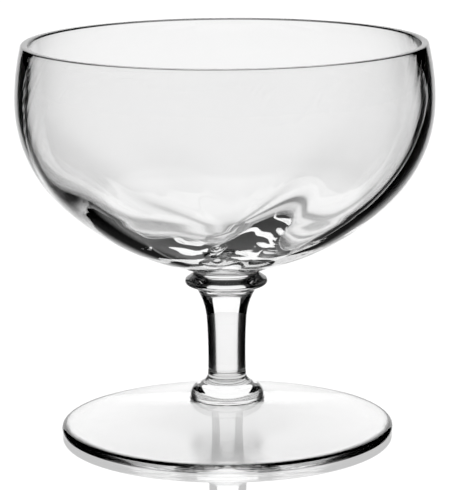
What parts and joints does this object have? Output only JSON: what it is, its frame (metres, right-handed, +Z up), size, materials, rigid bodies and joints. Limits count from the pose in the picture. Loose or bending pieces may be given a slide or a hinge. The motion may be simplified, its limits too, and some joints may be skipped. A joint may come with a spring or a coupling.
{
  "type": "sherbet glass",
  "caption": "Clear glass with a wide round bowl on a short solid stem with a collar, and a broad low cone of a foot.",
  "frame": {"origin": "on the table, at the centre of the ring that the foot stands on", "axes": "+Z up the axis of the glass, towards the open bowl; X and Y are free, because the glass is round"},
  "size_m": [0.0936, 0.0936, 0.0887],
  "materials": {
    "clear_glass": "clear colourless blown glass, fire-polished"
  },
  "bodies": {
    "root": {"sherbet_glass": "clear_glass"}
  },
  "joints": []
}
